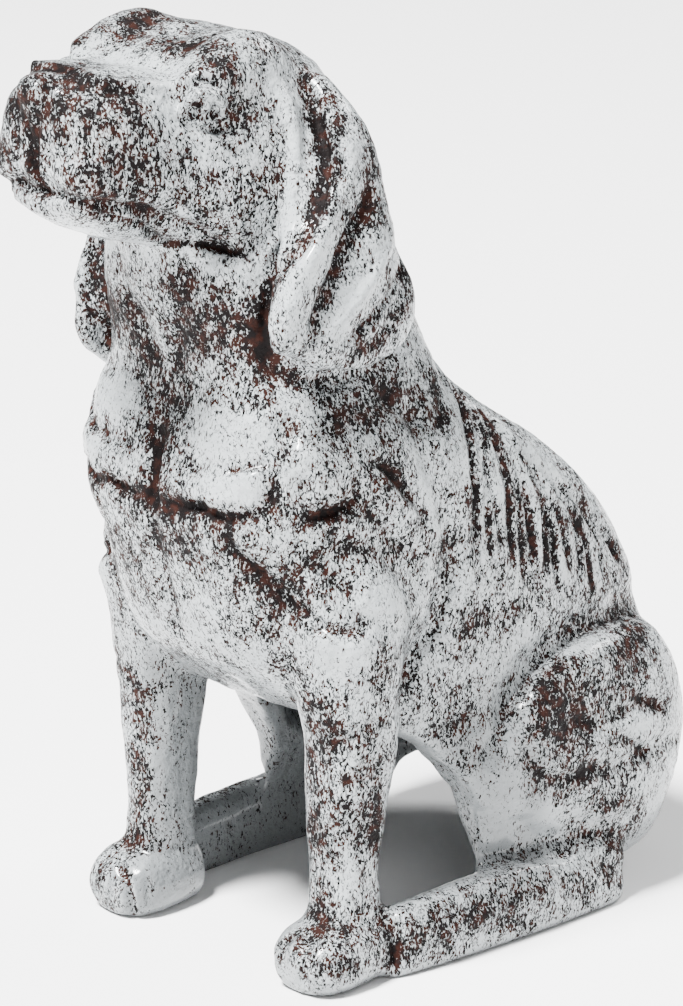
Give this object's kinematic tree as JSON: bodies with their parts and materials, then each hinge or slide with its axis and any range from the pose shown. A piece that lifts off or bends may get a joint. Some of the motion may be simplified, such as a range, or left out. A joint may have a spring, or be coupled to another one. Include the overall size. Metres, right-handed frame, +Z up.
{
  "type": "sitting dog doorstop",
  "caption": "Sitting long-eared dog, cast as one iron shell open underneath, with worn white paint, used to hold a door open.",
  "frame": {"origin": "on the floor, under the middle of the dog's bounding box", "axes": "+Z up, the dog faces -Y, and its left side is +X"},
  "size_m": [0.0994, 0.1944, 0.2327],
  "materials": {
    "worn paint": "off-white paint over dark brown iron, rubbed through on the raised carving"
  },
  "bodies": {
    "root": {"sitting_dog": "worn paint"}
  },
  "joints": []
}
